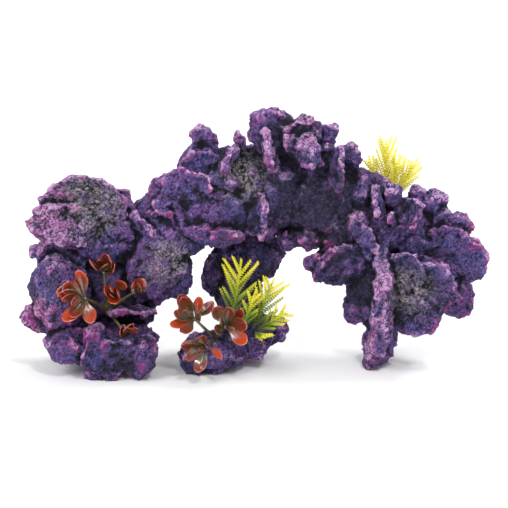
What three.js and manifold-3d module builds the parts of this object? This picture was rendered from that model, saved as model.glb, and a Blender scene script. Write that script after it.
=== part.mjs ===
// A reef arch for an aquarium: one resin casting of plate corals on three legs, with two glossy red plants
// and two clumps of yellow-green fern sprays set into pockets in it.
// Millimetres, +Z up, front towards -Y. The origin is the middle of the footprint, on the surface it stands on.
import * as THREE from "three";
import { mergeVertices } from "three/addons/utils/BufferGeometryUtils.js";
import Module from "manifold-3d";

const wasm = await Module();
wasm.setup();

// ---- driving dimensions -------------------------------------------------------------------------------
const FIT_GAP = 0.3; // left between pieces that meet
const FAN_CUT_X = -97; // the left fan forks from the left pillar left of this
const FAN_CUT_Z = 96; // and above this
const PILLAR_CUT_X = -36; // the left pillar leans into the crown here
const MIDDLE_LEFT_X = -58; // the middle leg stands between these two, under the crown
const MIDDLE_RIGHT_X = 32;
const MIDDLE_CUT_Z = 84;
const RIGHT_CUT_X = 62; // the right leg starts here
const FAR = 400; // longer than the whole arch, for cutting boxes
const STEM_RADIUS = 1.1;
const HUB_RADIUS = 1.9;
const LEAF_THICK = 1.6;
const SPRAY_THICK = 3.2;

const PURPLE = 0x3d3063;
const RED = 0x9c3517;
const OLIVE = 0x5a5226;
const YELLOW_GREEN = 0xb4c22a;

// ---- solids -------------------------------------------------------------------------------------------
const v3 = (p) => new THREE.Vector3(...p);

// One closed body with its shared corners joined.
function solidOf(geometry) {
  const bare = geometry.index ? geometry.clone() : geometry;
  bare.deleteAttribute("normal");
  bare.deleteAttribute("uv");
  const merged = mergeVertices(bare, 1e-4);
  return new wasm.Manifold(
    new wasm.Mesh({
      numProp: 3,
      vertProperties: merged.attributes.position.array,
      triVerts: new Uint32Array(merged.index.array),
    }),
  );
}

function geometryOf(solid) {
  const mesh = solid.getMesh();
  const points = new Float32Array(mesh.numVert * 3);
  for (let i = 0; i < mesh.numVert; i++) {
    points.set(mesh.vertProperties.subarray(i * mesh.numProp, i * mesh.numProp + 3), i * 3);
  }
  const geometry = new THREE.BufferGeometry();
  geometry.setAttribute("position", new THREE.BufferAttribute(points, 3));
  geometry.setIndex(new THREE.BufferAttribute(new Uint32Array(mesh.triVerts), 1));
  return geometry;
}

const joined = (solids) => solids.reduce((all, one) => all.add(one));

// The largest body of a solid: cutting a fork can leave crumbs of a neighbour's lobe.
function mainBody(solid) {
  return solid.decompose().reduce((big, one) => (one.volume() > big.volume() ? one : big));
}

function boxBetween(low, high) {
  const size = v3(high).sub(v3(low));
  const middle = v3(high).add(v3(low)).multiplyScalar(0.5);
  return solidOf(new THREE.BoxGeometry(size.x, size.y, size.z).translate(middle.x, middle.y, middle.z));
}

// A lobe is a plate that grows from root to tip: narrow at its neck, blunt at its rim, cupped towards face.
function lobe(root, tip, width, thick, face, options = {}) {
  const { cup = 0, around = 10, rings = 3, frill = 0.07, waves = 5, neck = 0.6, grow = 0 } = options;
  const along = v3(tip).sub(v3(root));
  const length = along.length() + 2 * grow;
  along.normalize();
  const out = v3(face).addScaledVector(along, -v3(face).dot(along)).normalize();
  const across = new THREE.Vector3().crossVectors(out, along);
  const centre = v3(root).add(v3(tip)).multiplyScalar(0.5);
  const phase = root[0] * 0.7 + tip[2] * 0.3;
  const geometry = new THREE.SphereGeometry(1, around, rings).rotateY(Math.PI / 2);
  const place = geometry.attributes.position;
  const rim = Math.sin((Math.PI * Math.floor(rings / 2)) / rings); // how far out the widest ring lies
  const point = new THREE.Vector3();
  for (let i = 0; i < place.count; i++) {
    const [x, y, z] = [place.getX(i) / rim, place.getY(i), place.getZ(i) / rim];
    const reach = Math.hypot(x, z);
    const share = (z + 1) / 2;
    const edge = 1 + frill * reach * Math.sin(waves * Math.atan2(x, z) + phase);
    const wide = x * edge * (width / 2 + grow) * (neck + (1 - neck) * share * (2 - share));
    const long = z * edge * (length / 2);
    const deep = y * (thick / 2 + grow) * (1.35 - 0.35 * share) + cup * reach * reach;
    point.copy(centre).addScaledVector(across, wide).addScaledVector(out, deep).addScaledVector(along, long);
    place.setXYZ(i, point.x, point.y, point.z);
  }
  return solidOf(geometry);
}

// A rounded mass of coral rock, a little lumpy.
function mass(centre, radii) {
  const reach = Math.max(...radii);
  const ball = reach > 30 ? THREE.IcosahedronGeometry : THREE.OctahedronGeometry;
  const geometry = reach > 15 ? new ball(1, 1) : new THREE.IcosahedronGeometry(1, 0);
  const place = geometry.attributes.position;
  for (let i = 0; i < place.count; i++) {
    const [x, y, z] = [place.getX(i), place.getY(i), place.getZ(i)];
    const lump = 1 + 0.07 * Math.sin(3 * x + centre[0]) + 0.07 * Math.sin(4 * z + centre[2]) * Math.cos(3 * y);
    place.setXYZ(
      i,
      centre[0] + x * radii[0] * lump,
      centre[1] + y * radii[1] * lump,
      centre[2] + z * radii[2] * lump,
    );
  }
  return solidOf(geometry);
}

const SMALL = { around: 8 };
const BIG = { around: 14, rings: 5 };

// ---- the reef casting ---------------------------------------------------------------------------------
const leftFan = () => [
  lobe([-104, 4, 88], [-126, -10, 147], 64, 8, [-0.25, -0.95, 0.15], { ...BIG, cup: 9, frill: 0.04 }),
  lobe([-108, -3, 93], [-156, -22, 113], 25, 12, [-0.1, -0.9, 0.5], { cup: 3, frill: 0.04 }),
  lobe([-104, 0, 98], [-151, -15, 120], 28, 10, [-0.1, -1, 0.25], { cup: 3, frill: 0.04 }),
  lobe([-102, 8, 92], [-95, 5, 130], 24, 8, [0.3, -0.9, 0.2]),
];

const leftPillar = () => [
  // back wall of the grotto, its left wall, and the haunch that leans into the crown
  mass([-104, 22, 52], [40, 20, 46]),
  mass([-135, -9, 58], [19, 22, 33]),
  mass([-104, 8, 92], [34, 20, 16]),
  mass([-68, 6, 74], [28, 24, 26]),
  mass([-62, 10, 102], [32, 24, 28]),
  mass([-104, 2, 19], [38, 27, 17]),
  // lobes beside and below the fan
  lobe([-91, 0, 86], [-90, -10, 126], 21, 12, [0, -1, 0.1]),
  lobe([-70, 4, 88], [-78, -18, 122], 28, 7, [-0.6, -0.75, 0.2], { cup: 4 }),
  lobe([-62, 6, 97], [-63, -12, 121], 28, 8, [-0.3, -0.9, 0.3], { cup: 3 }),
  lobe([-82, 0, 50], [-57, -13, 104], 38, 16, [0.15, -1, 0.1], { cup: -4 }),
  lobe([-118, 0, 78], [-151, -8, 91], 27, 16, [-0.2, -1, 0]),
  lobe([-140, -3, 84], [-157, -6, 89], 9, 8, [0, -1, 0], SMALL),
  lobe([-120, 0, 58], [-157, -8, 63], 36, 20, [-0.2, -1, 0.1]),
  lobe([-127, -4, 35], [-164, -13, 43], 21, 15, [-0.1, -0.9, 0.4]),
  // the lip round the foot of the grotto
  lobe([-114, -12, 22], [-144, -25, 24], 28, 22, [-0.3, -1, 0.2]),
  lobe([-99, -22, 3], [-101, -31, 36], 48, 14, [0, -1, 0.15], { cup: 3, frill: 0.1 }),
  lobe([-80, -20, 0], [-77, -30, 31], 25, 24, [0.1, -1, 0.2], { cup: -2 }),
  mass([-111, -31, 34], [10, 8, 9]),
  mass([-112, -22, 5], [8, 8, 9]),
  // the ledge across the grotto
  lobe([-84, 18, 38], [-88, -19, 47], 38, 4.5, [0, -0.2, 1], { frill: 0.09 }),
  // feet that the front hides
  mass([-126, 28, 8], [14, 14, 14]),
  mass([-84, 26, 8], [14, 14, 14]),
  // plates on the back
  lobe([-110, 30, 60], [-128, 52, 88], 46, 9, [-0.3, 0.9, 0.3], { cup: 4 }),
  lobe([-96, 32, 30], [-84, 54, 52], 40, 9, [0.2, 0.9, 0.3], { cup: 4 }),
  lobe([-132, 22, 34], [-154, 34, 52], 34, 10, [-0.4, 0.9, 0.1], { cup: 3 }),
  lobe([-76, 26, 88], [-72, 50, 112], 42, 9, [0.1, 0.9, 0.4], { cup: 4 }),
  lobe([-116, 20, 92], [-122, 34, 120], 34, 8, [-0.1, 0.9, 0.1], { cup: 3 }),
];

const crown = () => [
  mass([-27, 14, 114], [34, 28, 28]),
  mass([8, 20, 126], [36, 28, 34]),
  mass([44, 20, 120], [36, 28, 32]),
  mass([-16, 14, 136], [22, 20, 20]),
  mass([66, 12, 92], [24, 24, 22]),
  // left shoulder of the crown
  lobe([-46, 5, 94], [-50, -10, 151], 44, 9, [0.15, -1, 0.1], { ...BIG, cup: 7 }),
  lobe([-53, 5, 116], [-66, -6, 142], 24, 9, [-0.2, -1, 0.2]),
  lobe([-31, 12, 125], [-43, 2, 160], 32, 16, [0, -1, 0.3]),
  lobe([-27, 12, 152], [-40, 4, 176], 19, 8, [-0.3, -0.9, 0.3], { ...SMALL, cup: 3 }),
  lobe([-14, 8, 153], [-18, -19, 155], 23, 6, [-0.9, -0.35, 0.3], SMALL),
  lobe([-8, 12, 152], [-12, 8, 170], 9, 8, [0, -1, 0], SMALL),
  // the hood at the top
  lobe([20, 14, 150], [9, -8, 184], 35, 13, [-0.2, -0.7, 0.7], { cup: -4 }),
  lobe([26, 10, 152], [37, -8, 179], 31, 13, [0.3, -0.7, 0.6], { cup: -4 }),
  lobe([33, 4, 181], [40, -17, 149], 21, 9, [0.4, -0.9, 0.1], { cup: -3 }),
  lobe([48, 16, 152], [52, 10, 177], 17, 11, [0.3, -1, 0.2], SMALL),
  // leaves that stand out towards the front
  lobe([13, 2, 158], [10, -25, 163], 31, 7, [1, -0.15, 0.1], SMALL),
  lobe([27, 0, 161], [25, -14, 166], 12, 5, [1, -0.3, 0], SMALL),
  lobe([53, 4, 146], [63, -25, 151], 35, 7, [-0.7, -0.6, 0.2], { cup: 2 }),
  lobe([50, 8, 144], [50, -6, 164], 17, 9, [0, -1, 0.1], SMALL),
  lobe([65, 14, 140], [70, 8, 162], 20, 9, [0.2, -1, 0.3], SMALL),
  lobe([-4, 4, 107], [11, -25, 121], 33, 7, [-0.7, -0.6, 0.3], { cup: 3 }),
  lobe([-20, 2, 94], [-22, -25, 106], 26, 9, [-0.1, -0.3, 1]),
  lobe([-38, 2, 97], [-40, -21, 106], 24, 11, [0, -0.5, 0.8], SMALL),
  // the curled plate under the right haunch
  lobe([72, 12, 66], [53, -15, 93], 46, 9, [-0.2, -0.95, 0.2], { cup: 4, frill: 0.12 }),
  mass([44, 0, 78], [9, 9, 8]),
  mass([25, 6, 92], [9, 9, 8]),
  mass([38, 2, 93], [10, 10, 8]),
  // plates on the back
  lobe([-28, 32, 100], [-38, 58, 126], 46, 9, [-0.1, 0.9, 0.4], { cup: 4 }),
  lobe([6, 36, 118], [2, 62, 146], 52, 10, [0, 0.9, 0.4], { cup: 4 }),
  lobe([44, 34, 104], [52, 60, 128], 46, 9, [0.2, 0.9, 0.3], { cup: 4 }),
  lobe([-14, 26, 124], [-22, 46, 147], 36, 9, [-0.2, 0.8, 0.5], { cup: -3 }),
  lobe([30, 30, 134], [38, 46, 160], 34, 9, [0.2, 0.8, 0.4], { cup: -3 }),
];

const middleLeg = () => [
  mass([-3, 32, 76], [26, 18, 26]),
  mass([-11, 30, 46], [19, 17, 28]),
  mass([-28, -6, 13], [25, 18, 16]),
  lobe([-30, -8, 10], [-52, -14, 12], 26, 17, [0, -1, 0.3], SMALL),
  mass([2, 16, 21], [19, 20, 16]),
  mass([-8, 34, 12], [20, 16, 15]),
  lobe([-14, 32, 62], [-37, 21, 63], 36, 9, [-0.2, -1, 0]),
  lobe([8, 30, 72], [18, 24, 80], 16, 12, [0.3, -1, 0], SMALL),
  lobe([4, 16, 22], [22, 10, 26], 24, 14, [0.2, -0.9, 0.2], SMALL),
  lobe([-8, 2, 14], [8, -4, 18], 18, 12, [0, -1, 0.2], SMALL),
  lobe([-14, 40, 40], [-24, 58, 60], 36, 9, [-0.2, 0.9, 0.3], { cup: 3 }),
  lobe([8, 40, 20], [20, 56, 36], 30, 9, [0.3, 0.9, 0.3], { cup: 3 }),
];

const rightLeg = () => [
  mass([80, 14, 102], [32, 26, 26]),
  mass([76, 14, 126], [22, 20, 18]),
  mass([110, 20, 92], [28, 22, 28]),
  mass([123, 24, 66], [22, 16, 34]),
  mass([88, 12, 58], [18, 16, 44]),
  lobe([92, 8, 50], [86, 1, -5], 23, 20, [0.3, -1, 0], SMALL),
  mass([90, 24, 12], [11, 14, 15]),
  // leaves and knobs on the shoulder
  lobe([88, 4, 120], [83, -23, 126], 26, 7, [0.8, -0.5, 0.2], SMALL),
  lobe([99, 6, 117], [97, -10, 135], 16, 13, [0, -1, 0.2], SMALL),
  lobe([94, -1, 104], [119, -17, 122], 23, 8, [-0.3, -0.7, 0.6], { cup: 3 }),
  lobe([97, -4, 109], [94, -19, 115], 11, 4, [0.9, -0.3, 0.2], SMALL),
  lobe([116, 18, 113], [115, 10, 130], 15, 13, [0, -1, 0], SMALL),
  lobe([123, 18, 107], [129, 8, 126], 21, 13, [0.2, -1, 0], SMALL),
  lobe([130, 16, 96], [133, 6, 116], 17, 13, [0.2, -1, 0], SMALL),
  // the fan at the right end
  lobe([120, 24, 64], [156, 1, 96], 60, 12, [0.25, -0.95, 0.1], { ...BIG, cup: 4, frill: 0.09, waves: 7 }),
  lobe([128, 24, 48], [155, 8, 47], 34, 10, [0.2, -1, 0]),
  lobe([128, 15, 88], [149, 2, 110], 25, 10, [0.3, -1, 0.2]),
  // the crooked finger and the tall fin below it
  lobe([84, -4, 84], [74, -19, 103], 12, 11, [0, -1, 0.3], SMALL),
  lobe([83, -16, 90], [68, -23, 117], 14, 11, [0, -1, 0], SMALL),
  lobe([94, 10, 54], [86, -25, 58], 80, 16, [0.95, -0.3, 0], { around: 14, neck: 0.85 }),
  // the wall left of the fin and its bumps
  lobe([92, -6, 54], [69, 14, 64], 62, 9, [-0.7, -0.7, 0.1], { cup: 2, neck: 0.8 }),
  mass([72, 8, 42], [8, 9, 9]),
  // the dished fan right of the fin
  lobe([84, 8, 56], [138, -11, 55], 62, 9, [-0.15, -1, 0.1], { cup: 4, neck: 0.8 }),
  lobe([92, 6, 48], [143, -19, 70], 42, 8, [-0.15, -0.97, 0.15], { cup: 5, neck: 0.75 }),
  lobe([98, 0, 58], [113, -14, 89], 30, 8, [-0.1, -1, 0.1], { cup: 3 }),
  lobe([90, 4, 42], [132, -18, 42], 30, 8, [-0.1, -1, 0.1], { cup: 4, neck: 0.8 }),
  // plates on the back
  lobe([86, 34, 94], [92, 60, 118], 44, 9, [0.1, 0.9, 0.4], { cup: 4 }),
  lobe([110, 34, 66], [124, 56, 84], 46, 9, [0.3, 0.9, 0.3], { cup: 4 }),
  lobe([90, 24, 40], [98, 46, 56], 40, 9, [0.1, 0.9, 0.3], { cup: 4 }),
];

// ---- plants -------------------------------------------------------------------------------------------
// A whorl of spoon-shaped leaves, moulded in one piece round a hub.
function whorl(hub, tips, grow = 0) {
  const axis = tips.reduce((sum, tip) => sum.add(v3(tip).sub(v3(hub)).normalize()), new THREE.Vector3());
  const facing = axis.lengthSq() > 0.1 ? axis.toArray() : [0, -1, 0.2];
  const leaves = tips.map((tip) => {
    const width = v3(tip).distanceTo(v3(hub)) * 0.6;
    return lobe(hub, tip, width, LEAF_THICK, facing, { around: 6, rings: 2, frill: 0, neck: 0.3, grow });
  });
  const knob = new THREE.OctahedronGeometry(HUB_RADIUS + grow, 0).translate(...hub);
  return joined([solidOf(knob), ...leaves]);
}

function hexagon(radius) {
  const turns = [0, 1, 2, 3, 4, 5].map((i) => (i * Math.PI) / 3);
  return turns.map((turn) => new THREE.Vector2(radius * Math.cos(turn), radius * Math.sin(turn)));
}

// A stem that forks to every hub, stopping short of each by the fit gap.
function stem(root, hubs, grow = 0) {
  const branches = hubs.map((hub) => {
    const reach = v3(hub).sub(v3(root));
    const end = v3(root).addScaledVector(reach, 1 - (HUB_RADIUS + FIT_GAP) / reach.length());
    const line = new THREE.LineCurve3(v3(root), end);
    const section = new THREE.Shape(hexagon(STEM_RADIUS + grow));
    const steps = { steps: 1, bevelEnabled: false, extrudePath: line };
    return solidOf(new THREE.ExtrudeGeometry(section, steps));
  });
  const knot = new THREE.OctahedronGeometry(STEM_RADIUS * 2 + grow, 0).translate(...root);
  return joined([solidOf(knot), ...branches]);
}

const spray = (root, tip, width, face, cup = 2, grow = 0) =>
  lobe(root, tip, width, SPRAY_THICK, face, { around: 8, frill: 0, neck: 0.25, cup, grow });

const RED_PLANTS = {
  red_plant_middle: {
    root: [-27, -8, 24],
    whorls: [
      [[-41, -20, 42], [[-37, -17, 58], [-54, -24, 51], [-59, -28, 39], [-50, -33, 35], [-28, -12, 52]]],
      [[-20, -28, 39], [[-27, -34, 57], [-6, -32, 53], [-4, -41, 31], [-28, -44, 40]]],
      [[-33, -32, 27], [[-39, -46, 10], [-20, -44, 22], [-51, -40, 31], [-38, -44, 38]]],
    ],
  },
  red_plant_left: {
    root: [-103, -4, 44],
    whorls: [
      [[-116, -28, 60], [[-133, -40, 65], [-129, -36, 75], [-119, -34, 84], [-130, -42, 46], [-111, -42, 45]]],
      [[-104, -20, 76], [[-101, -26, 92], [-114, -34, 87], [-94, -34, 84]]],
      [[-97, -24, 65], [[-87, -36, 74], [-104, -40, 68], [-96, -40, 58]]],
      [[-84, -18, 61], [[-82, -32, 71], [-74, -28, 70]]],
      [[-88, -24, 30], [[-82, -34, 42], [-93, -38, 42]]],
    ],
  },
};

const FERNS = {
  fern_front: [
    [[-16, -4, 34], [-8, -9, 89], 30, [0.1, -1, 0.1]],
    [[-7, -8, 34], [2, -19, 64], 16, [-0.2, -1, 0.2]],
    [[0, -3, 32], [16, -9, 73], 26, [0.1, -1, 0.2]],
    [[4, -5, 31], [27, -17, 49], 18, [0.1, -0.9, 0.4]],
    [[2, -9, 28], [11, -22, 28], 11, [0.1, -0.6, 0.8]],
  ],
  fern_back: [
    [[92, 34, 118], [79, 38, 146], 14, [0.1, -1, 0.1]],
    [[94, 33, 118], [93, 34, 164], 18, [0, -1, 0.1]],
    [[97, 33, 117], [103, 30, 150], 16, [0.2, -1, 0.1]],
    [[100, 34, 116], [116, 36, 144], 16, [0, -1, 0.1]],
  ],
};

// ---- cutting the forks and the pockets -----------------------------------------------------------------
// Each fork of the casting keeps what lies in one box and leaves out what lies in another.
const FORKS = {
  left_fan: { keep: [[-FAR, -FAR, FAN_CUT_Z], [FAN_CUT_X, FAR, FAR]] },
  left_pillar: {
    keep: [[-FAR, -FAR, 0], [PILLAR_CUT_X, FAR, FAR]],
    leave: [[-FAR, -FAR, FAN_CUT_Z - FIT_GAP], [FAN_CUT_X + FIT_GAP, FAR, FAR]],
  },
  middle_leg: { keep: [[MIDDLE_LEFT_X, -FAR, 0], [MIDDLE_RIGHT_X, FAR, MIDDLE_CUT_Z]] },
  crown: {
    keep: [[PILLAR_CUT_X + FIT_GAP, -FAR, 0], [RIGHT_CUT_X - FIT_GAP, FAR, FAR]],
    leave: [[-FAR, -FAR, -FAR], [MIDDLE_RIGHT_X, FAR, MIDDLE_CUT_Z + FIT_GAP]],
  },
  right_leg: { keep: [[RIGHT_CUT_X, -FAR, 0], [FAR, FAR, FAR]] },
};

function standard(color, roughness) {
  return new THREE.MeshStandardMaterial({ color, roughness, metalness: 0 });
}

function addPiece(group, name, solid, material) {
  const mesh = new THREE.Mesh(geometryOf(mainBody(solid)), material);
  mesh.name = name;
  group.add(mesh);
}

function buildReef(group, pockets) {
  const lobes = joined([...leftFan(), ...leftPillar(), ...crown(), ...middleLeg(), ...rightLeg()]);
  const rock = lobes.subtract(pockets);
  const material = standard(PURPLE, 0.8);
  for (const [name, { keep, leave }] of Object.entries(FORKS)) {
    const kept = rock.intersect(boxBetween(...keep));
    addPiece(group, name, leave ? kept.subtract(boxBetween(...leave)) : kept, material);
  }
}

const arch = new THREE.Group();
const pieces = [];
for (const [plant, { root, whorls }] of Object.entries(RED_PLANTS)) {
  const hubs = whorls.map(([hub]) => hub);
  pieces.push([`${plant}_stem`, (grow) => stem(root, hubs, grow), standard(OLIVE, 0.4)]);
  whorls.forEach(([hub, tips], i) => {
    pieces.push([`${plant}_whorl_${i + 1}`, (grow) => whorl(hub, tips, grow), standard(RED, 0.25)]);
  });
}
for (const [clump, sprays] of Object.entries(FERNS)) {
  sprays.forEach(([root, tip, width, face], i) => {
    const make = (grow) => spray(root, tip, width, face, 2, grow);
    pieces.push([`${clump}_spray_${i + 1}`, make, standard(YELLOW_GREEN, 0.5)]);
  });
}

// Each plant piece is cut clear of those before it, and the casting is cut clear of them all.
let taken = null;
for (const [name, make, material] of pieces) {
  const solid = taken ? make(0).subtract(taken) : make(0);
  addPiece(arch, name, solid, material);
  taken = taken ? taken.add(make(FIT_GAP)) : make(FIT_GAP);
}
buildReef(arch, taken);

const box = new THREE.Box3().setFromObject(arch);
const middle = box.getCenter(new THREE.Vector3());
arch.position.set(-middle.x, -middle.y, -box.min.z);

export default arch;
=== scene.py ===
import math
import random

import bpy
import numpy as np
from mathutils import Matrix, Vector, kdtree


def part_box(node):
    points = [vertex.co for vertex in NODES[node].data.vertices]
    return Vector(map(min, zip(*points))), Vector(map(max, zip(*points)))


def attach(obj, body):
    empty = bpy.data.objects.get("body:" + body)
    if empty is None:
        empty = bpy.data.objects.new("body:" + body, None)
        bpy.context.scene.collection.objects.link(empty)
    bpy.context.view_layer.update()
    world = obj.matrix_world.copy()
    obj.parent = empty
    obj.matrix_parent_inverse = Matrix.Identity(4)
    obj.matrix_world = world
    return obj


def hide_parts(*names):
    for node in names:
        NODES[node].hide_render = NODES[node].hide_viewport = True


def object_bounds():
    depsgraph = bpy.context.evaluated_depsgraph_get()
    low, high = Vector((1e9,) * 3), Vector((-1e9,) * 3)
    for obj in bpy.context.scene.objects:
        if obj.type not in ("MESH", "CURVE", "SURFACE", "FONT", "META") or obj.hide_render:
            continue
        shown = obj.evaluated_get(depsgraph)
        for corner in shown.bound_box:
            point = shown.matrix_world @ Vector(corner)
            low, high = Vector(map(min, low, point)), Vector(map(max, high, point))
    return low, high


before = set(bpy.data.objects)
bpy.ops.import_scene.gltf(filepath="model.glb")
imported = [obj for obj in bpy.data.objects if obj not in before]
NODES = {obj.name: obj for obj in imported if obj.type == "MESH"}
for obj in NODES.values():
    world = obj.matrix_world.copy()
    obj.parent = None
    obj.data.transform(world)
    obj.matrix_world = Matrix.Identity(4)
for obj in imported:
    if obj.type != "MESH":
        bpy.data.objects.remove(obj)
start_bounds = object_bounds()

REEF = ("left_fan", "left_pillar", "crown", "middle_leg", "right_leg")
RED_PLANTS = {
    "red_plant_middle": 3,
    "red_plant_left": 5,
}
FERNS = {
    "fern_front": 5,
    "fern_back": 4,
}


# ---- shader kit ----------------------------------------------------------------------------------------
# The colour sockets of a Mix node, which share their names with its other sockets.
MIX_SHARE, MIX_LOW, MIX_HIGH = 0, 6, 7
MIX_RESULT = 2


class Number:
    """A number that varies over a surface. Arithmetic on it adds Math nodes."""

    def __init__(self, finish, socket):
        self.finish = finish
        self.socket = socket

    def math(self, operation, other=None):
        inputs = {0: self} if other is None else {0: self, 1: other}
        return self.finish.node("ShaderNodeMath", {"operation": operation}, inputs)

    def __add__(self, other):
        return self.math("ADD", other)

    def __radd__(self, other):
        return self.math("ADD", other)

    def __sub__(self, other):
        return self.math("SUBTRACT", other)

    def __rsub__(self, other):
        return self.finish.node("ShaderNodeMath", {"operation": "SUBTRACT"}, {0: other, 1: self})

    def __mul__(self, other):
        return self.math("MULTIPLY", other)

    def __rmul__(self, other):
        return self.math("MULTIPLY", other)

    def step(self, low, high):
        """0 below low, 1 above high, and a soft rise between."""
        settings = {"interpolation_type": "SMOOTHSTEP"}
        inputs = {"Value": self, "From Min": low, "From Max": high}
        return self.finish.node("ShaderNodeMapRange", settings, inputs)


class Finish:
    """A material for one slot of the object."""

    def __init__(self, name, slot, **shader):
        self.slot = slot
        self.material = bpy.data.materials.new(name)
        self.material.use_nodes = True
        self.tree = self.material.node_tree
        self.shader = self.tree.nodes["Principled BSDF"]
        for socket, value in shader.items():
            self.shader.inputs[socket.replace("_", " ")].default_value = value
        self.place = self.node("ShaderNodeTexCoord", {}, {}, "Object")

    def node(self, kind, settings, inputs, output=0):
        made = self.tree.nodes.new(kind)
        for key, value in settings.items():
            setattr(made, key, value)
        for key, value in inputs.items():
            if isinstance(value, Number):
                self.tree.links.new(value.socket, made.inputs[key])
            else:
                made.inputs[key].default_value = value
        return Number(self, made.outputs[output])

    def noise(self, size_mm, detail=3, rough=0.55, warp=0.0):
        inputs = {"Vector": self.place, "Scale": 1000 / size_mm, "Detail": detail, "Roughness": rough}
        inputs["Distortion"] = warp
        return self.node("ShaderNodeTexNoise", {}, inputs)

    def attribute(self, name):
        return self.node("ShaderNodeAttribute", {"attribute_name": name}, {}, "Fac")

    def upward(self):
        """1 where the surface faces up, -1 where it faces down."""
        normal = self.node("ShaderNodeNewGeometry", {}, {}, "Normal")
        return self.node("ShaderNodeSeparateXYZ", {}, {"Vector": normal}, "Z")

    def spot(self, centre_mm, radius_mm):
        """1 at a centre, falling to 0 at a radius."""
        centre = tuple(value / 1000 for value in centre_mm)
        inputs = {0: self.place, 1: centre}
        away = self.node("ShaderNodeVectorMath", {"operation": "DISTANCE"}, inputs, "Value")
        return (1 - away * (1000 / radius_mm)).step(0.0, 1.0)

    def spots(self, patches):
        """The sum of the spots in a list of centres and reaches."""
        total = 0
        for centre_mm, reach_mm in patches:
            total = self.spot(centre_mm, reach_mm) + total
        return total

    def mix(self, share, low, high):
        """Colour low where share is 0, high where it is 1."""
        low, high = ((*end, 1) if isinstance(end, tuple) else end for end in (low, high))
        inputs = {MIX_SHARE: share, MIX_LOW: low, MIX_HIGH: high}
        return self.node("ShaderNodeMix", {"data_type": "RGBA"}, inputs, MIX_RESULT)

    def paint(self, colour, roughness=None):
        self.tree.links.new(colour.socket, self.shader.inputs["Base Color"])
        if roughness is not None:
            self.tree.links.new(roughness.socket, self.shader.inputs["Roughness"])

    def bump(self, height, depth_mm):
        inputs = {"Height": height, "Strength": 1.0, "Distance": depth_mm / 1000}
        made = self.node("ShaderNodeBump", {}, inputs)
        self.tree.links.new(made.socket, self.shader.inputs["Normal"])


def srgb(red, green, blue):
    """A paint colour given as 0 to 255, in the linear numbers the shader uses."""
    return tuple(((part / 255 + 0.055) / 1.055) ** 2.4 for part in (red, green, blue))


# ---- colours ---------------------------------------------------------------------------------------------
# The reef's paints.
NAVY = srgb(27, 26, 60)
VIOLET = srgb(82, 44, 106)
BLUE = srgb(50, 56, 116)
DUSTY_LILAC = srgb(150, 126, 192)
# Near black of the painted shade in hollows and under overhangs.
NEAR_BLACK = srgb(24, 26, 38)
GREY = srgb(70, 66, 70)
PALE_GREY = srgb(196, 186, 188)
MAGENTA = srgb(166, 48, 126)
# Pale lilac of the dry brush and of its painted highlight on up-facing surfaces.
PALE_LILAC = srgb(222, 180, 228)
# Ink of the dark wash and the painted shade in the creases.
INK = srgb(16, 15, 30)
# The plants' plastics.
OLIVE_BROWN = srgb(74, 62, 36)
DARK_RED = srgb(126, 40, 24)
RED_ORANGE = srgb(182, 68, 32)
VEIN_BROWN = srgb(92, 40, 24)
# Tan of the leaf rims and their painted highlight.
TAN_EDGE = srgb(150, 96, 58)
STEM_BROWN = srgb(62, 54, 26)
STEM_OLIVE = srgb(104, 92, 44)
STEM_RUST = srgb(120, 60, 30)
DEEP_GREEN = srgb(76, 96, 28)
LEAF_GREEN = srgb(146, 166, 40)
YELLOW = srgb(226, 216, 58)
PALE_YELLOW = srgb(250, 242, 110)
# The floor.
FLOOR_WHITE = srgb(250, 250, 251)
FLOOR_PALE = srgb(254, 254, 254)


# ---- modelling kit -------------------------------------------------------------------------------------
def only(*pieces):
    """Select these pieces and nothing else."""
    if bpy.context.object and bpy.context.object.mode != "OBJECT":
        bpy.ops.object.mode_set(mode="OBJECT")
    bpy.ops.object.select_all(action="DESELECT")
    for piece in pieces:
        piece.select_set(True)
    bpy.context.view_layer.objects.active = pieces[0]


def modify(piece, kind, **settings):
    """Add a modifier, set it and apply it."""
    only(piece)
    modifier = piece.modifiers.new(kind.lower(), kind)
    for key, value in settings.items():
        setattr(modifier, key, value)
    bpy.ops.object.modifier_apply(modifier=modifier.name)
    return piece


def copy_of(piece, name):
    twin = bpy.data.objects.new(name, piece.data.copy())
    bpy.context.scene.collection.objects.link(twin)
    return twin


def join(name, pieces):
    only(*pieces)
    if len(pieces) > 1:
        bpy.ops.object.join()
    whole = bpy.context.object
    whole.name = name
    whole.data.name = name
    return whole


def scrap(*pieces):
    for piece in pieces:
        bpy.data.objects.remove(piece)


def points(mesh):
    flat = np.empty(len(mesh.vertices) * 3, np.float32)
    mesh.vertices.foreach_get("co", flat)
    return flat.reshape(-1, 3).astype(np.float64)


def normals(mesh):
    flat = np.empty(len(mesh.vertices) * 3, np.float32)
    mesh.vertex_normals.foreach_get("vector", flat)
    return flat.reshape(-1, 3).astype(np.float64)


def set_points(mesh, places):
    mesh.vertices.foreach_set("co", places.astype(np.float32).ravel())
    mesh.update()


def set_attribute(mesh, name, values):
    layer = mesh.attributes.get(name) or mesh.attributes.new(name, "FLOAT", "POINT")
    layer.data.foreach_set("value", np.asarray(values, np.float32))


def remesh(piece, voxel_mm):
    return modify(piece, "REMESH", mode="VOXEL", voxel_size=voxel_mm / 1000)


def smooth(piece, rounds):
    return modify(piece, "SMOOTH", factor=0.5, iterations=rounds)


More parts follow.
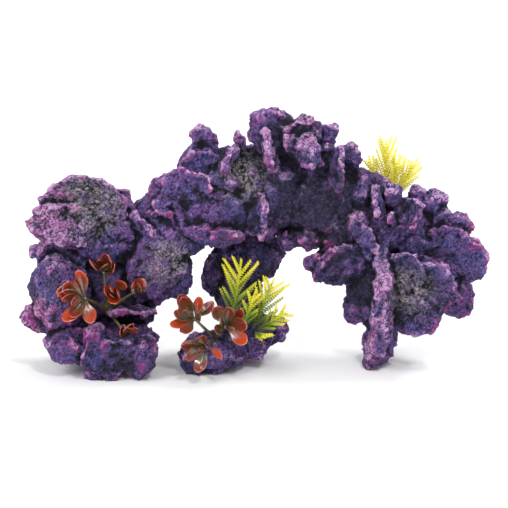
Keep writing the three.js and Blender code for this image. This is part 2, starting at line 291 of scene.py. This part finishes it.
# ---- the reef casting ------------------------------------------------------------------------------------
# Metres, unless a name says otherwise.
WELD = 0.00005  # corners closer than this are one
OVERLAP = 0.0004  # how far each fork swells so that its neighbours meet it
CASTING_VOXEL_MM = 1.1
HALF_GAP = 0.00015  # half of what is left between two forks
LEG_MARGIN = 0.004  # room at both sides of the middle leg for its relief
FAR = 1.0
TOOL_FAR = 2.0  # past FAR, so that two cuts never share a plane
MARKS = ("grain", "crest", "rim", "hollow")
# The crinkles start where a rim stands out this far, in millimetres, and grow in steps.
RIM_START, RIM_STEP, RIM_LEVELS = 0.3, 0.1, 8


def cloud(name, size_mm, kind="CLOUDS", **settings):
    texture = bpy.data.textures.new(name, kind)
    texture.noise_scale = size_mm / 1000
    for key, value in settings.items():
        setattr(texture, key, value)
    return texture


def push(piece, texture, depth_mm, direction="NORMAL", group=""):
    return modify(
        piece,
        "DISPLACE",
        texture=texture,
        texture_coords="LOCAL",
        strength=depth_mm / 1000,
        mid_level=0.5,
        direction=direction,
        vertex_group=group,
    )


def rough_casting():
    """All forks of the casting as one closed, rounded body."""
    forks = [copy_of(NODES[name], "fork_" + name) for name in REEF]
    for fork in forks:
        only(fork)
        bpy.ops.object.mode_set(mode="EDIT")
        bpy.ops.mesh.select_all(action="SELECT")
        bpy.ops.mesh.remove_doubles(threshold=WELD)
        bpy.ops.object.mode_set(mode="OBJECT")
        modify(fork, "DISPLACE", strength=OVERLAP, mid_level=0.0)
    casting = join("casting", forks)
    casting.data.materials.clear()
    remesh(casting, CASTING_VOXEL_MM)
    smooth(casting, 7)
    return casting


def height_over(piece, rounds):
    """How far each point stands out of the smoothed surface round it, in millimetres."""
    plain = copy_of(piece, "plain")
    smooth(plain, rounds)
    lift = ((points(piece.data) - points(plain.data)) * normals(plain.data)).sum(1) * 1000
    scrap(plain)
    return lift


def weathered_casting():
    casting = rough_casting()
    push(casting, cloud("swell", 34, cloud_type="COLOR", noise_depth=1), 6, "RGB_TO_XYZ")
    push(casting, cloud("ruffle", 15, cloud_type="COLOR", noise_depth=1), 5, "RGB_TO_XYZ")
    sharpen(casting, 40, 0.35)
    mark_heights(casting)
    group_rims(casting)
    push(casting, cloud("lumps", 10, noise_depth=1), 3.0)
    push(casting, cloud("crinkle", 6, cloud_type="COLOR", noise_depth=1), 2.4, "RGB_TO_XYZ")
    push(casting, cloud("frill", 5, cloud_type="COLOR", noise_depth=1), 2.6, "RGB_TO_XYZ", "rims")
    push(casting, cloud("beads", 3.2, "VORONOI"), -1.1, group="rims")
    push(casting, cloud("knobs", 3.4, "VORONOI"), -1.1)
    push(casting, cloud("grain", 2.2, noise_depth=2), 1.7)
    set_attribute(casting.data, "grain", height_over(casting, 5))
    return casting


def sharpen(piece, rounds, share):
    """Draw rims out thinner and creases in deeper."""
    plain = copy_of(piece, "plain")
    smooth(plain, rounds)
    places = points(piece.data)
    set_points(piece.data, places + (places - points(plain.data)) * share)
    scrap(plain)


def group_rims(casting):
    """Weights for the crinkles that gather on rims and knobs."""
    rim = np.empty(len(casting.data.vertices), np.float32)
    casting.data.attributes["rim"].data.foreach_get("value", rim)
    group = casting.vertex_groups.new(name="rims")
    level = np.clip(np.round((rim - RIM_START) / RIM_STEP), 0, RIM_LEVELS).astype(int)
    for step in range(1, RIM_LEVELS + 1):
        group.add(np.nonzero(level == step)[0].tolist(), step / RIM_LEVELS, "REPLACE")


def settle(casting):
    """The feet end flat on the ground."""
    places = points(casting.data)
    places[:, 2] = np.maximum(places[:, 2], 0)
    set_points(casting.data, places)


def mark_heights(casting):
    """Crests and rims stand over the surface round them, and hollows lie under it."""
    set_attribute(casting.data, "crest", height_over(casting, 24))
    set_attribute(casting.data, "rim", height_over(casting, 90))
    set_attribute(casting.data, "hollow", -height_over(casting, 500))


def cut(piece, operation, low, high):
    """Keep, or take away, what lies in a box."""
    size = Vector(high) - Vector(low)
    centre = (Vector(high) + Vector(low)) / 2
    bpy.ops.object.select_all(action="DESELECT")
    bpy.ops.mesh.primitive_cube_add(size=1, location=centre, scale=size)
    tool = bpy.context.object
    bpy.ops.object.transform_apply(location=True, rotation=True, scale=True)
    modify(piece, "BOOLEAN", operation=operation, solver="MANIFOLD", object=tool)
    scrap(tool)
    return piece


def biggest_part(piece):
    """Drop the crumbs that a cut leaves of a neighbouring fork."""
    only(piece)
    bpy.ops.object.mode_set(mode="EDIT")
    bpy.ops.mesh.select_all(action="SELECT")
    bpy.ops.mesh.separate(type="LOOSE")
    bpy.ops.object.mode_set(mode="OBJECT")
    parts = sorted(bpy.context.selected_objects, key=lambda part: len(part.data.vertices))
    scrap(*parts[:-1])
    return parts[-1]


def split_casting(casting):
    fan_low, fan_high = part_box("left_fan")
    crown_low, crown_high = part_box("crown")
    leg_low, leg_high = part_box("middle_leg")
    fan_x, fan_z = fan_high.x + HALF_GAP, fan_low.z - HALF_GAP
    pillar_x = (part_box("left_pillar")[1].x + crown_low.x) / 2
    right_x = (crown_high.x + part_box("right_leg")[0].x) / 2
    leg_z = leg_high.z + HALF_GAP
    leg_x0, leg_x1 = leg_low.x - LEG_MARGIN, leg_high.x + LEG_MARGIN
    keep = {
        "left_fan": ((-FAR, -FAR, fan_z), (fan_x, FAR, FAR)),
        "left_pillar": ((-FAR, -FAR, -FAR), (pillar_x, FAR, FAR)),
        "middle_leg": ((leg_x0, -FAR, -FAR), (leg_x1, FAR, leg_z)),
        "crown": ((pillar_x, -FAR, -FAR), (right_x, FAR, FAR)),
        "right_leg": ((right_x, -FAR, -FAR), (FAR, FAR, FAR)),
    }
    leave = {
        "left_pillar": ((-TOOL_FAR, -TOOL_FAR, fan_z), (fan_x, TOOL_FAR, TOOL_FAR)),
        "crown": ((-FAR, -TOOL_FAR, -TOOL_FAR), (leg_x1, TOOL_FAR, leg_z)),
    }
    seen = kdtree.KDTree(len(casting.data.vertices))
    places = points(casting.data)
    for index, place in enumerate(places):
        seen.insert(place, index)
    seen.balance()
    forks = []
    for name in REEF:
        fork = copy_of(casting, "reef_" + name)
        cut(fork, "INTERSECT", *keep[name])
        if name in leave:
            cut(fork, "DIFFERENCE", *leave[name])
        fork = biggest_part(fork)
        fork.name = fork.data.name = "reef_" + name
        nearest = [seen.find(place)[1] for place in points(fork.data)]
        for mark in MARKS:
            values = np.empty(len(places), np.float32)
            casting.data.attributes[mark].data.foreach_get("value", values)
            set_attribute(fork.data, mark, values[nearest])
        forks.append(fork)
    scrap(casting)
    return forks


def reef_paint():
    """Navy and violet washes, crests dry-brushed magenta and lilac with a painted highlight where they face
    up, wide hollows left grey, and painted shade near black in hollows, under overhangs and in the creases.
    """
    paint = Finish("reef_paint", "reef_paint", Specular_IOR_Level=0.3)
    crest = paint.attribute("crest")
    rim = paint.attribute("rim")
    hollow = paint.attribute("hollow")
    grain = paint.attribute("grain")
    up = paint.upward()
    patch = paint.noise(40, 2)
    tint = paint.noise(24, 2)
    blotch = paint.noise(9, 3)
    fine = paint.noise(1.3, 2, 0.6)
    thread = paint.noise(3.0, 2, 0.5, 2.6)
    strand = (1 - (thread - 0.5).math("ABSOLUTE") * 10).step(0.0, 1.0)
    dry = (strand * 0.4 + fine + grain * 0.75).step(0.55, 0.84)

    colour = paint.mix((patch * 0.7 + blotch * 0.5).step(0.5, 0.68), NAVY, VIOLET)
    colour = paint.mix((tint + blotch * 0.3).step(0.62, 0.78) * 0.75, colour, BLUE)
    dust = dry * (patch * 1.3 + blotch * 0.5 - 0.35)
    colour = paint.mix(dust, colour, DUSTY_LILAC)
    # Painted shade: near black in wide hollows, in the listed spots under the crown and in the arches, and
    # where the surface faces down; rims and crests stay clear of it.
    painted_shade = hollow * 0.08 - rim * 0.45 + 0.12 + paint.spots(PAINTED_SHADE_HOLLOWS)
    painted_shade = (painted_shade + blotch * 0.6 - crest * 0.5 - up * 0.1).step(0.35, 1.1)
    colour = paint.mix(painted_shade * (1 - dry * 0.3) * 0.92, colour, NEAR_BLACK)
    grey = paint.spots(GREY_HOLLOWS) * (blotch * 1.6 - crest * 0.4).step(0.4, 0.9)
    colour = paint.mix(grey * 0.85, colour, GREY)
    colour = paint.mix(grey * dry, colour, PALE_GREY)
    lilac = paint.spots(LILAC_PATCHES)
    magenta = paint.spots(MAGENTA_PATCHES)
    edge = crest * 1.1 + rim * 0.2 + blotch * 1.2 + patch * 0.5 + lilac * 0.75 + magenta * 0.75
    edge = (edge - 1.1).step(0.25, 0.95)
    colour = paint.mix(edge * (dry * 0.6 + 0.32), colour, MAGENTA)
    # Pale lilac dry brush on raised grain and rims, with a painted highlight that grows where the surface
    # faces up.
    drybrush_and_painted_highlight = rim * 0.35 + crest * 0.3 + up * 0.4 + tint * 1.4 + lilac * 0.8 + magenta * 0.1
    drybrush_and_painted_highlight = (drybrush_and_painted_highlight - 0.9).step(0.15, 0.95)
    colour = paint.mix(drybrush_and_painted_highlight * dry * 0.95, colour, PALE_LILAC)
    # Ink in the low grain and away from crests: a dark wash that also paints shade into the creases.
    deep = (0.3 - crest * 0.7 - rim * 0.2 - grain * 1.4 - fine * 0.4).step(0.0, 0.85)
    colour = paint.mix(deep * 0.95, colour, INK)
    paint.paint(colour, 0.65 + fine * 0.25)
    paint.bump(strand * 0.6 + fine, 1.2)
    return paint


# Patches of ground coat, painted shade and rim paint, each by its centre and reach in millimetres.
# Wide hollows left grey: the fan's middle, the crown's left cheek, the dished fan and the pillar's side.
GREY_HOLLOWS = (
    ((-113, -28, 123), 36),
    ((-8, -12, 140), 26),
    ((108, -20, 60), 26),
    ((-60, -24, 82), 25),
)
# Painted shade, nearly black, in hollows: under the crown, over the shelf and inside the arches.
PAINTED_SHADE_HOLLOWS = (
    ((36, -10, 118), 60),
    ((8, 0, 152), 34),
    ((-90, -20, 56), 34),
    ((-92, -32, 14), 26),
    ((-10, 20, 60), 44),
    ((48, -10, 104), 38),
    ((70, -10, 54), 24),
)
# Rims with the most lilac: the fan, the crown's lobes, the fin, its foot and the wall.
LILAC_PATCHES = (
    ((-144, -20, 128), 44),
    ((-134, -34, 104), 36),
    ((26, -14, 176), 22),
    ((12, -24, 160), 16),
    ((88, -26, 70), 26),
    ((89, -28, 42), 24),
    ((79, -20, 18), 20),
    ((40, -20, 168), 16),
    ((-146, -28, 48), 30),
    ((22, -26, 108), 16),
    ((72, -20, 112), 14),
)
# Rims left pure magenta: the base's lip, the shelf, the arch, the right fan, the dished fan and two lobes.
MAGENTA_PATCHES = (
    ((-112, -40, 32), 28),
    ((-72, -34, 22), 16),
    ((-84, -34, 46), 16),
    ((-22, -24, 104), 18),
    ((50, -20, 94), 18),
    ((136, -6, 80), 16),
    ((156, -8, 92), 20),
    ((140, -24, 52), 20),
    ((64, -16, 150), 16),
    ((-60, -20, 118), 14),
    ((-148, -26, 44), 26),
    ((-86, -40, 14), 16),
)


# ---- the plants ------------------------------------------------------------------------------------------
# Metres, unless a name says otherwise.
STEM_RADIUS = 0.0011
STEM_VOXEL_MM = 0.35
STEM_WIDTHS = (1.5, 1.4, 1.1, 0.9, 0.8)  # times the radius, from root to hub
STEM_BOW = Vector((0, -0.0025, 0.0015))
STEM_END_CORNERS = 6  # a branch of the plain stem ends in a six-sided face
KNOB_REACH = 0.0044  # the corners of a whorl's hub lie this near the end of its branch
KNOB_RADIUS = 0.0017
SHORTEST_LEAF = 0.009
LEAF_SPACING = math.radians(27)  # corners of a whorl closer in direction than this are one leaf
LEAF_SETBACK = 0.0035  # how far leaf tips stay behind the front of the whole object


def bare_points(node):
    """The corners of a CAD node, each once."""
    return np.unique(np.round(points(NODES[node].data), 6), axis=0)


def place(piece, origin, along, facing, size=1.0):
    """Turn a piece modelled along +Y, with its face to +Z, to lie along a direction, and leave it there."""
    y = Vector(along).normalized()
    z = (Vector(facing) - y * Vector(facing).dot(y)).normalized()
    x = y.cross(z)
    turn = Matrix((x, y, z)).transposed().to_4x4()
    piece.matrix_world = Matrix.Translation(Vector(origin)) @ turn @ Matrix.Diagonal((size, size, size, 1))
    only(piece)
    bpy.ops.object.transform_apply(location=True, rotation=True, scale=True)
    return piece


def leaf_blade(name, width, bowl, curl, notch):
    """One moulded spoon leaf, 1 long: a narrow stalk that widens into a round, dished blade."""
    bpy.ops.object.select_all(action="DESELECT")
    bpy.ops.mesh.primitive_grid_add(x_subdivisions=8, y_subdivisions=10, size=2, location=(0, 0, 0))
    leaf = bpy.context.object
    leaf.name = name
    across, along = points(leaf.data)[:, 0], points(leaf.data)[:, 1]
    x = across * np.sqrt(1 - along**2 / 2)
    y = along * np.sqrt(1 - across**2 / 2) / 2 + 0.5
    rise = np.clip((y - 0.06) / 0.56, 0, 1)
    x = x * width / 2 * (0.17 + 0.83 * rise**2 * (3 - 2 * rise))
    dish = np.clip((x * 2 / width) ** 2 + ((y - 0.66) / 0.34) ** 2, 0, 1)
    z = bowl * (dish - 1) + curl * y**2 - 0.02 * (np.abs(across) < 0.1)
    y = y - notch * np.exp(-((x / 0.07) ** 2)) * (y > 0.8)
    set_points(leaf.data, np.stack((x, y, z), axis=1))
    modify(leaf, "SOLIDIFY", thickness=0.05, offset=0)
    modify(leaf, "SUBSURF", levels=1, render_levels=1)
    places = points(leaf.data)
    ring = (places[:, 0] * 2 / width) ** 2 + ((places[:, 1] - 0.66) / 0.34) ** 2
    set_attribute(leaf.data, "along", places[:, 1])
    set_attribute(leaf.data, "edge", np.where(places[:, 1] > 0.5, ring, np.clip(ring, 0, 0.8)))
    only(leaf)
    bpy.ops.object.shade_smooth()
    return leaf


def leaf_patterns():
    return [
        leaf_blade("round_leaf", 0.5, 0.07, 0.12, 0.0),
        leaf_blade("long_leaf", 0.4, 0.05, 0.18, 0.0),
        leaf_blade("notched_leaf", 0.54, 0.06, 0.08, 0.05),
    ]


def stem_ends(plant, count):
    """Where a stem's branches end, and the hub of each whorl there."""
    stem = bare_points(plant + "_stem")
    hubs = []
    used = np.zeros(len(stem), bool)
    for number in range(1, count + 1):
        corners = bare_points(f"{plant}_whorl_{number}")
        gap = np.linalg.norm(stem[:, None] - corners[None], axis=2).min(axis=1)
        near = np.argsort(gap)[:STEM_END_CORNERS]
        used[near] = True
        end = stem[near].mean(axis=0)
        knob = corners[np.linalg.norm(corners - end, axis=1) < KNOB_REACH]
        hubs.append(Vector(knob.mean(axis=0)))
    return Vector(stem[~used].mean(axis=0)), hubs


def leaf_tips(node, hub):
    """The outermost corner of each leaf of a whorl."""
    corners = [Vector(corner) - hub for corner in bare_points(node)]
    corners.sort(key=lambda corner: -corner.length)
    tips = []
    for corner in corners:
        if corner.length > SHORTEST_LEAF and all(corner.angle(tip) > LEAF_SPACING for tip in tips):
            tips.append(corner)
    return tips


def build_whorl(node, hub, patterns, dice):
    """The long leaves of a whorl, with shorter ones between and above them, round a small knob."""
    tips = leaf_tips(node, hub)
    axis = sum((tip.normalized() for tip in tips), Vector())
    if axis.length < 0.3:
        axis = Vector((0, -1, 0.2))
    axis = axis.normalized()
    facing = (axis + Vector((0, -0.8, 0.15))).normalized()
    leaves = []
    for number, tip in enumerate(tips):
        leaves.append((tip, dice.choice((0, 0, 1, 2)), dice.random()))
        other = tips[(number + 1) % len(tips)]
        between = (tip.normalized() + other.normalized()).normalized() * min(tip.length, other.length)
        if len(tips) > 1:
            lift = axis * dice.uniform(0.25, 0.75) * between.length
            leaves.append(((between + lift) * 0.85, dice.choice((0, 1)), dice.random() * 0.5))
    blades = []
    for tip, pattern, shade in leaves:
        tip.y = max(tip.y, start_bounds[0].y + LEAF_SETBACK - hub.y)
        leaf = copy_of(patterns[pattern], f"{node}_leaf")
        lean = facing + Vector([dice.uniform(-0.3, 0.3) for _ in range(3)])
        place(leaf, hub, tip, lean, tip.length)
        set_attribute(leaf.data, "shade", np.full(len(leaf.data.vertices), shade))
        blades.append(leaf)
    bpy.ops.object.select_all(action="DESELECT")
    bpy.ops.mesh.primitive_ico_sphere_add(subdivisions=2, radius=KNOB_RADIUS, location=hub)
    knob = bpy.context.object
    bpy.ops.object.transform_apply(location=True)
    modify(knob, "SUBSURF", levels=1, render_levels=1)
    for mark, value in (("along", 0.1), ("edge", 0.0), ("shade", 0.2)):
        set_attribute(knob.data, mark, np.full(len(knob.data.vertices), value))
    only(knob)
    bpy.ops.object.shade_smooth()
    return join(node + "_leaves", [knob, *blades])


def build_stem(plant, root, hubs):
    """Smooth forked stems that bow a little towards each hub."""
    branches = []
    for hub in hubs:
        bow = (root + hub) / 2 + STEM_BOW
        bpy.ops.object.select_all(action="DESELECT")
        bpy.ops.curve.primitive_nurbs_path_add()
        path = bpy.context.object
        spline = path.data.splines[0]
        stations = (root - (bow - root) * 0.3, root, root.lerp(bow, 0.6), bow.lerp(hub, 0.7), hub)
        for point, station, width in zip(spline.points, stations, STEM_WIDTHS):
            point.co = (*station, 1)
            point.radius = width
        spline.use_endpoint_u = True
        path.data.bevel_depth = STEM_RADIUS
        path.data.bevel_resolution = 3
        path.data.use_fill_caps = True
        path.data.resolution_u = 6
        path.location = (0, 0, 0)
        path.rotation_euler = (0, 0, 0)
        only(path)
        bpy.ops.object.convert(target="MESH")
        branches.append(bpy.context.object)
    stem = join(plant + "_stems", branches)
    remesh(stem, STEM_VOXEL_MM)
    smooth(stem, 3)
    only(stem)
    bpy.ops.object.shade_smooth()
    return stem


def build_red_plants():
    leaf_finish = red_leaf_plastic()
    stem_finish = stem_plastic()
    patterns = leaf_patterns()
    dice = random.Random(7)
    for plant, count in RED_PLANTS.items():
        root, hubs = stem_ends(plant, count)
        finish_piece(build_stem(plant, root, hubs), stem_finish, plant + "_stem")
        for number, hub in enumerate(hubs, 1):
            node = f"{plant}_whorl_{number}"
            finish_piece(build_whorl(node, hub, patterns, dice), leaf_finish, node)
    scrap(*patterns)


TWIG_JOINT_MM = 1.9  # from one pair of scale leaves to the next
TWIG_JOINTS = (2, 3, 4, 5, 6, 8, 10, 12, 15, 18, 22, 27)
MM = 0.001
# How a clump grows: metres between side twigs, their lean in degrees, their spread to front and back,
# and how much riper its yellow is.
FERN_HABITS = {
    "fern_front": {"gap": 0.0046, "lean": (26, 37), "spread": 0.28, "ripe": 0},
    "fern_back": {"gap": 0.0045, "lean": (13, 22), "spread": 0.3, "ripe": 0.8},
}


def twig_pattern(joints):
    """A straight twig along +Y, in millimetres, with stubby scale leaves to both sides of it."""
    bpy.ops.object.select_all(action="DESELECT")
    bpy.ops.mesh.primitive_cylinder_add(
        vertices=6,
        radius=0.55,
        depth=2.1,
        end_fill_type="TRIFAN",
        location=(0, 1.0, 0),
        rotation=(math.pi / 2, 0, 0),
    )
    parts = [bpy.context.object]
    for side, start, lift in ((1, 0.1, 0.1), (-1, 1.0, 0.1), (0.5, 0.6, -0.6), (-0.5, 1.4, 0.7)):
        bpy.ops.mesh.primitive_cone_add(
            vertices=5,
            radius1=0.62,
            radius2=0.3,
            depth=2.5,
            end_fill_type="TRIFAN",
        )
        scale_leaf = bpy.context.object
        lean = Vector((side * 0.85, 0.95, lift))
        scale_leaf.rotation_mode = "QUATERNION"
        scale_leaf.rotation_quaternion = lean.to_track_quat("Z", "Y")
        scale_leaf.location = Vector((0, start, 0)) + lean.normalized() * 1.2
        bpy.ops.object.transform_apply(location=True, rotation=True, scale=True)
        parts.append(scale_leaf)
    twig = join("twig", parts)
    spacing = (0, TWIG_JOINT_MM, 0)
    return modify(
        twig,
        "ARRAY",
        count=joints,
        use_relative_offset=False,
        use_constant_offset=True,
        constant_offset_displace=spacing,
    )


def blade_ends(node):
    """The foot, tip, face and width of a spray, from its plain CAD blade."""
    corners = bare_points(node)
    gaps = np.linalg.norm(corners[:, None] - corners[None], axis=2)
    first, second = np.unravel_index(gaps.argmax(), gaps.shape)
    middle = corners.mean(axis=0)
    _, _, axes = np.linalg.svd(corners - middle)
    spread = (corners - middle) @ axes[1]
    return Vector(corners[first]), Vector(corners[second]), Vector(axes[2]), spread.max() - spread.min()


def build_spray(node, foot, tip, face, width, twigs, habit, dice):
    """A main twig with long side twigs that leave it by turns."""
    reach = (tip - foot).length
    along = (tip - foot).normalized()
    face = face if face.y < 0 else -face
    across = face.cross(along)
    parts = []

    def add_twig(start, direction, length, droop):
        joints = min(twigs, key=lambda count: abs(count * TWIG_JOINT_MM * MM - length))
        twig = copy_of(twigs[joints], node + "_twig")
        place(twig, start, direction, face + across * droop, MM)
        way = np.array(direction.normalized())
        places = points(twig.data) - np.array(start)
        run = places @ way
        share = np.clip(run / (joints * TWIG_JOINT_MM * MM), 0, 1)
        core = np.outer(run, way)
        bow = np.outer(share**2 * length * droop * 0.3, np.array(face + along * 0.5))
        girth = (1.15 - 0.55 * share)[:, None]
        set_points(twig.data, np.array(start) + core + (places - core) * girth + bow)
        parts.append(twig)

    add_twig(foot, along, reach * 0.97, dice.uniform(-0.1, 0.1))
    count = max(6, round(reach / habit["gap"]))
    for number in range(count):
        share = 0.06 + 0.66 * number / (count - 1)
        side = 1 if number % 2 else -1
        lean = math.radians(dice.uniform(*habit["lean"]))
        length = min(reach * (1 - share) * 0.92 + 0.002, width * 0.57 / math.sin(lean))
        spread = face * dice.uniform(-1, 1) * habit["spread"]
        direction = along * math.cos(lean) + across * side * math.sin(lean) + spread
        start = foot + along * reach * share
        add_twig(start, direction, length * dice.uniform(0.85, 1), dice.uniform(-0.2, 0.3))
    spray = join(node + "_twigs", parts)
    outward = np.linalg.norm(points(spray.data) - np.array(foot), axis=1) / reach
    set_attribute(spray.data, "ripe", outward + habit["ripe"])
    return spray


def build_ferns():
    finish = fern_plastic()
    dice = random.Random(11)
    twigs = {joints: twig_pattern(joints) for joints in TWIG_JOINTS}
    for clump, count in FERNS.items():
        blades = [blade_ends(f"{clump}_spray_{number}") for number in range(1, count + 1)]
        base = sum((min(blade[0], blade[1], key=lambda end: end.z) for blade in blades), Vector()) / count
        for number, (first, second, face, width) in enumerate(blades, 1):
            if (first - base).length > (second - base).length:
                first, second = second, first
            node = f"{clump}_spray_{number}"
            spray = build_spray(node, first, second, face, width, twigs, FERN_HABITS[clump], dice)
            finish_piece(spray, finish, node)
    scrap(*twigs.values())


def red_leaf_plastic():
    leaf = Finish("red_leaf", "red_leaf", Coat_Weight=1.0, Coat_Roughness=0.1, Specular_IOR_Level=0.6)
    along = leaf.attribute("along")
    edge = leaf.attribute("edge")
    shade = leaf.attribute("shade")
    blotch = leaf.noise(7, 2)
    vein = leaf.noise(1.6, 2)
    colour = leaf.mix((along + blotch * 0.8 + shade * 0.4).step(0.8, 1.45), OLIVE_BROWN, DARK_RED)
    colour = leaf.mix((along + blotch * 0.8 + shade).step(1.55, 2.3), colour, RED_ORANGE)
    colour = leaf.mix((vein * edge).step(0.35, 0.7) * 0.3, colour, VEIN_BROWN)
    # Lighter tan on the rims: the leaves' thin edges, with a painted rim highlight.
    colour = leaf.mix((edge + vein * 0.2).step(1.0, 1.2) * 0.35, colour, TAN_EDGE)
    leaf.paint(colour, 0.12 + blotch * 0.2)
    leaf.bump(vein, 0.25)
    return leaf


def stem_plastic():
    stem = Finish("plant_stem", "plant_stem", Coat_Weight=0.4)
    blotch = stem.noise(5, 2)
    fine = stem.noise(1.2, 2)
    colour = stem.mix(blotch.step(0.35, 0.65), STEM_BROWN, STEM_OLIVE)
    colour = stem.mix(fine.step(0.55, 0.75) * 0.5, colour, STEM_RUST)
    stem.paint(colour, 0.25 + fine * 0.25)
    stem.bump(fine, 0.2)
    return stem


def fern_plastic():
    fern = Finish("yellow_fern", "yellow_fern", Specular_IOR_Level=0.5)
    ripe = fern.attribute("ripe")
    blotch = fern.noise(8, 2)
    fine = fern.noise(1.5, 2)
    colour = fern.mix((ripe + blotch * 0.3).step(0.2, 0.7), DEEP_GREEN, LEAF_GREEN)
    colour = fern.mix((ripe + blotch * 0.4 + fine * 0.2).step(0.65, 1.15), colour, YELLOW)
    colour = fern.mix((ripe + blotch * 0.4).step(1.3, 2.0), colour, PALE_YELLOW)
    fern.paint(colour, 0.35 + fine * 0.25)
    fern.bump(fine, 0.2)
    return fern


# ---- scene ---------------------------------------------------------------------------------------------
# Metres, unless a name says otherwise.
SENSOR_MM = 36
FRAME_WIDTH = 0.3556  # the width seen at the object
EYE_DISTANCE = 1.5
EYE_RISE = math.radians(15)
EYE_AIM = Vector((0.0001, -0.0103, 0.084))
LAMP_AIM = Vector((0, 0, 0.07))
WORLD_STRENGTH = 0.68
FLOOR_SIZE = 30


def finish_piece(piece, finish, *nodes):
    piece.data.materials.clear()
    piece.data.materials.append(finish.material)
    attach(piece, "root")
    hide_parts(*nodes)


def build_reef():
    casting = weathered_casting()
    settle(casting)
    paint = reef_paint()
    for name, fork in zip(REEF, split_casting(casting)):
        only(fork)
        bpy.ops.object.shade_smooth()
        finish_piece(fork, paint, name)


def build_camera():
    camera = bpy.data.cameras.new("camera")
    eye = bpy.data.objects.new("camera", camera)
    bpy.context.scene.collection.objects.link(eye)
    camera.sensor_width = SENSOR_MM
    camera.lens = SENSOR_MM * EYE_DISTANCE / FRAME_WIDTH
    back = Vector((0, -math.cos(EYE_RISE), math.sin(EYE_RISE)))
    eye.location = EYE_AIM + back * EYE_DISTANCE
    eye.rotation_mode = "QUATERNION"
    eye.rotation_quaternion = (-back).to_track_quat("-Z", "Y")
    bpy.context.scene.camera = eye


def build_floor():
    bpy.ops.object.select_all(action="DESELECT")
    bpy.ops.mesh.primitive_plane_add(size=FLOOR_SIZE)
    floor = bpy.context.object
    floor.name = "floor"
    finish = Finish("floor", None, Roughness=0.9, Specular_IOR_Level=0.1)
    finish.paint(finish.mix(finish.noise(900, 1), FLOOR_WHITE, FLOOR_PALE))
    floor.data.materials.append(finish.material)


def aim_lamp(lamp, direction):
    lamp.rotation_mode = "QUATERNION"
    lamp.rotation_quaternion = Vector(direction).to_track_quat("-Z", "Y")


def build_lamp(name, kind, energy, location=(0, 0, 0), direction=None, **settings):
    light = bpy.data.lights.new(name, kind)
    light.energy = energy
    for key, value in settings.items():
        setattr(light, key, value)
    lamp = bpy.data.objects.new(name, light)
    bpy.context.scene.collection.objects.link(lamp)
    lamp.location = location
    aim_lamp(lamp, direction or LAMP_AIM - Vector(location))


def build_light():
    world = bpy.data.worlds.new("studio")
    bpy.context.scene.world = world
    world.use_nodes = True
    background = world.node_tree.nodes["Background"]
    background.inputs["Color"].default_value = (1, 1, 1, 1)
    background.inputs["Strength"].default_value = WORLD_STRENGTH
    build_lamp("top", "SUN", 2.1, direction=(-0.6, -0.3, -1), angle=math.radians(24))
    build_lamp("side", "AREA", 9, (-0.7, -0.9, 0.9), size=0.6)
    build_lamp("glint", "AREA", 6, (0.25, -0.9, 1.0), size=0.18)
    bpy.context.scene.view_settings.view_transform = "Standard"


build_camera()
build_floor()
build_light()
build_reef()
build_red_plants()
build_ferns()
